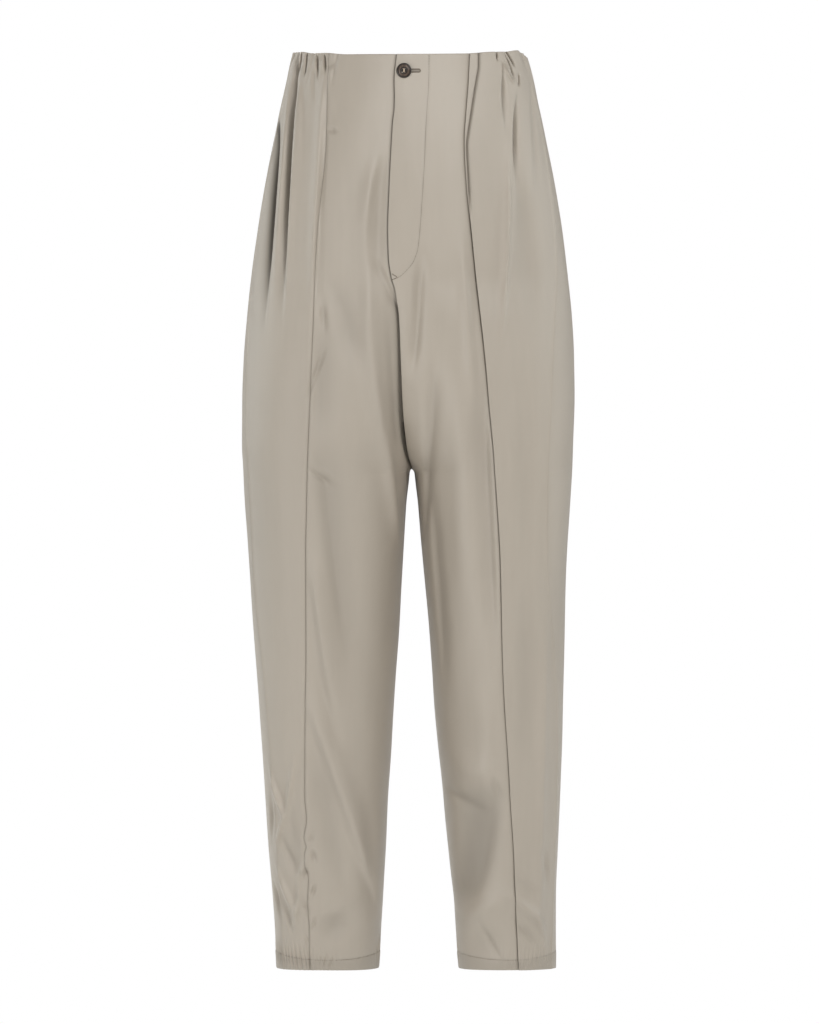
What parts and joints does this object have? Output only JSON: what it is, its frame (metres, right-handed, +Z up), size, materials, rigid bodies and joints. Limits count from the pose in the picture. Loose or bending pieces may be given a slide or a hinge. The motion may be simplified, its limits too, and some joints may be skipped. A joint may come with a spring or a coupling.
{
  "type": "pleated wide-leg trousers",
  "caption": "Wide trousers tapering to the hem, with panelled fronts, gathered sides and a buttoned fly, filled out and hollow as worn.",
  "frame": {"origin": "middle of the waist opening, level with its edge, where the wearer holds the garment up", "axes": "+Z up out of the waist opening; the front faces -Y; +X towards the garment's left side; the hems hang at about z = -1.07 m"},
  "size_m": [0.3849, 0.2731, 1.0738],
  "materials": {
    "cloth": "fine close twill in a warm stone grey, matt with a slight sheen",
    "horn": "dark brown horn effect, softly polished",
    "thread": "fine sewing thread, a darker brown grey than the cloth"
  },
  "bodies": {
    "root": {"front_centre_right": "cloth", "front_centre_left": "cloth", "front_side_right": "cloth", "front_side_left": "cloth", "back_right": "cloth", "back_left": "cloth", "fly": "cloth", "button": "horn"}
  },
  "joints": []
}
